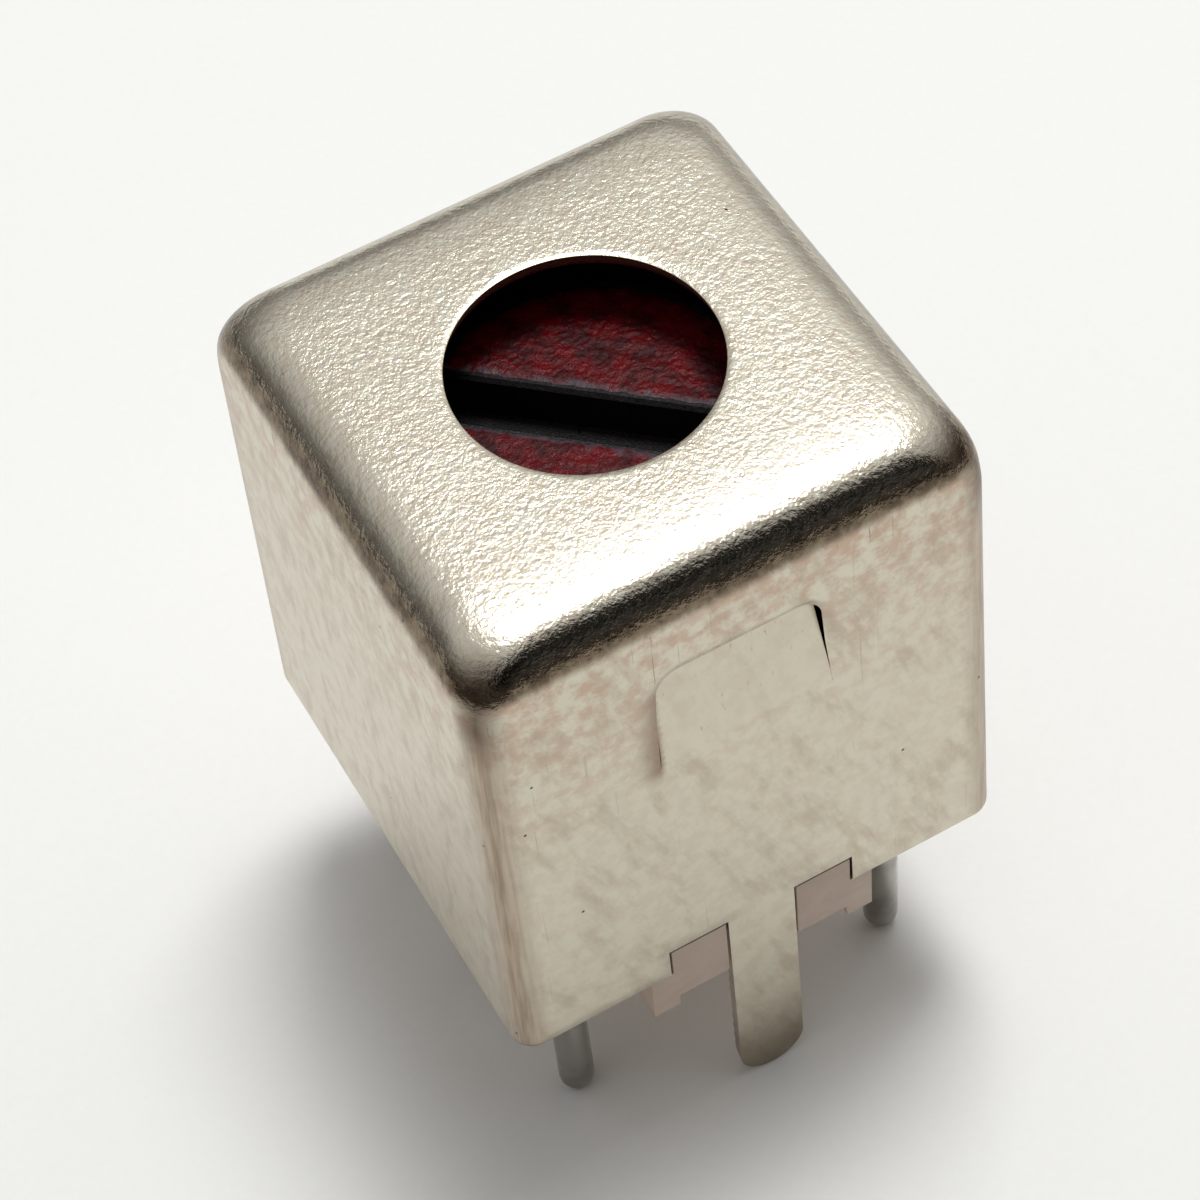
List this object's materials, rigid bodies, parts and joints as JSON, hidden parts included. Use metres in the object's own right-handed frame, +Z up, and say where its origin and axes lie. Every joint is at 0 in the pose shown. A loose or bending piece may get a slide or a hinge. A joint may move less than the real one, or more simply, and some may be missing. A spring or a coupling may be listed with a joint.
{
  "type": "shielded tunable coil",
  "caption": "Square shielded radio coil for a circuit board, with a screw core that is turned through a hole in its metal can to tune it.",
  "frame": {"origin": "middle of the pin pattern on the board's surface, which the feet of the base stand on", "axes": "+Z up out of the board towards the tool hole; -Y is the front face, with a ground lug and a locking panel; the three-pin row is on the -X side"},
  "size_m": [0.0102, 0.0104, 0.0162],
  "materials": {
    "can_plate": "drawn brass sheet, nickel plated, satin",
    "base_moulding": "moulded, pinkish tan, satin",
    "frame_moulding": "moulded nylon, black",
    "ferrite": "sintered ferrite, ground",
    "drum_ferrite": "sintered ferrite",
    "red_lacquer": "brushed-on lacquer, worn",
    "brake_ring": "silicone rubber",
    "adhesive": "cured epoxy",
    "magnet_wire": "enamelled copper wire",
    "magnet_wire_red": "enamelled copper wire, darker enamel",
    "tinned_pin": "tinned, bright",
    "solder": "tin solder, dipped"
  },
  "bodies": {
    "housing": {"shield_can": "can_plate", "terminal_base": "base_moulding", "core_frame": "frame_moulding", "drum_core": "drum_ferrite", "drum_adhesive": "adhesive", "primary_winding": "magnet_wire", "secondary_winding": "magnet_wire_red", "pin_1": "tinned_pin", "pin_2": "tinned_pin", "pin_3": "tinned_pin", "pin_4": "tinned_pin", "pin_5": "tinned_pin", "solder_joint_1": "solder", "solder_joint_2": "solder", "solder_joint_3": "solder", "solder_joint_4": "solder", "solder_joint_5": "solder", "lead_wire_1": "magnet_wire", "lead_wire_2": "magnet_wire", "lead_wire_3": "magnet_wire", "lead_wire_4": "magnet_wire", "lead_wire_5": "magnet_wire"},
    "core_travel": {"core_brake_ring": "brake_ring"},
    "screw_core": {"tuning_core": "ferrite", "core_lacquer": "red_lacquer"}
  },
  "joints": [
    {"name": "core_rise", "type": "slide", "parent": "housing", "child": "core_travel", "axis": [0, 0, 1], "range_m": [-0.0015, 0.001]},
    {"name": "core_turn", "type": "hinge", "parent": "core_travel", "child": "screw_core", "pos_m": [0, 0, 0.01095], "axis": [0, 0, 1], "range_deg": [-1080, 720]}
  ],
  "couplings": [
    {"joint": "core_turn", "follows": "core_rise", "rad_per_m": 12566}
  ]
}
